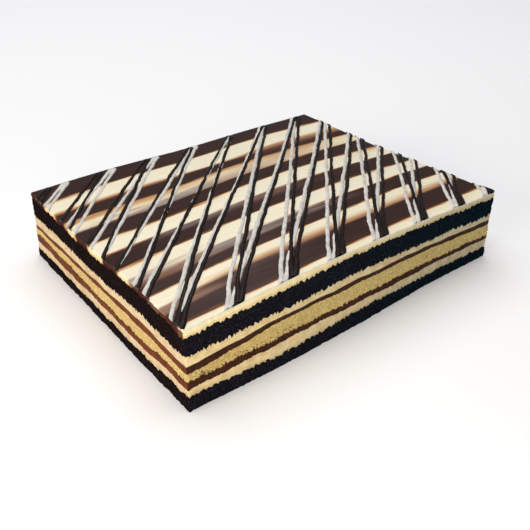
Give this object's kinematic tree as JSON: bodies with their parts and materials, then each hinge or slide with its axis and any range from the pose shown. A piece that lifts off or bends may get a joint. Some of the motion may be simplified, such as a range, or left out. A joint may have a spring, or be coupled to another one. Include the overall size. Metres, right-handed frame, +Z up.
{
  "type": "chocolate layer sheet cake",
  "caption": "Rectangular chocolate layer cake, cut square on all sides to show its layers, with a striped glaze and zigzag drizzle on top.",
  "frame": {"origin": "middle of the flat underside of the bottom sponge", "axes": "+X along the long front side, +Y from the front side to the back, +Z up from the surface it rests on"},
  "size_m": [0.3101, 0.2537, 0.0694],
  "materials": {
    "chocolate_sponge": "very dark, matt, open crumb of chocolate sponge",
    "cream": "soft satin vanilla cream with fine pores",
    "ganache": "smooth dark brown ganache, faint sheen",
    "vanilla_sponge": "matt yellow crumb of vanilla sponge",
    "glaze": "combed ivory, caramel and dark chocolate stripes, satin, with glossy white and dark drizzle"
  },
  "bodies": {
    "root": {"base_sponge": "chocolate_sponge", "lower_cream": "cream", "lower_ganache": "ganache", "vanilla_sponge": "vanilla_sponge", "upper_ganache": "ganache", "upper_cream": "cream", "top_sponge": "chocolate_sponge", "glaze": "glaze"}
  },
  "joints": []
}
